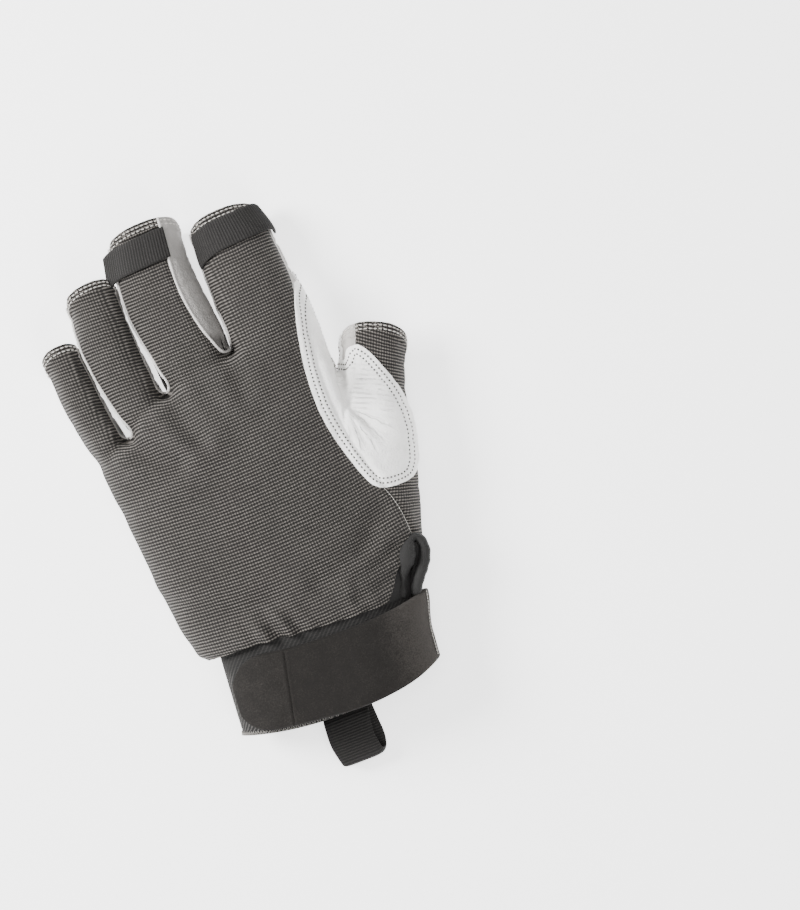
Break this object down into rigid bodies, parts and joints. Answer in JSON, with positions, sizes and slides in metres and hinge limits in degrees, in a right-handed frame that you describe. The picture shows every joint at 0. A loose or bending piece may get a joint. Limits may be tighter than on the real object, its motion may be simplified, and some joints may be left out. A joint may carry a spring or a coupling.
{
  "type": "fingerless climbing glove",
  "caption": "Fingerless left-hand climbing glove with ribbed stretch back, soft leather palm, wide wrist closure strap, pull loop and fingertip tabs, lying palm down",
  "frame": {"origin": "on the surface the glove lies on, under the middle of its outline", "axes": "+Y towards the fingertips, +X towards the thumb, +Z out of the back of the hand"},
  "size_m": [0.1278, 0.2272, 0.036],
  "materials": {
    "ribbed_fabric": "charcoal ribbed stretch fabric with lighter yarn on the ribs",
    "soft_leather": "light warm grey soft grain leather, matt",
    "patch_leather": "pale grey soft leather, double stitched edge",
    "cuff_elastic": "dark diagonal-ribbed elastic",
    "brushed_strap": "dark brushed felt-like strap",
    "gusset_elastic": "dark soft folded elastic",
    "webbing": "dark cross-ribbed grosgrain webbing"
  },
  "bodies": {
    "root": {"back_panel": "ribbed_fabric", "thumb_panel": "ribbed_fabric", "palm_panel": "soft_leather", "fourchette_ring_little": "soft_leather", "fourchette_middle_ring": "soft_leather", "fourchette_index_middle": "soft_leather", "crotch_patch": "patch_leather", "cuff_band": "cuff_elastic", "closure_strap": "brushed_strap", "wrist_gusset": "gusset_elastic", "wrist_pull_loop": "webbing", "index_pull_tab": "webbing", "middle_pull_tab": "webbing"}
  },
  "joints": []
}
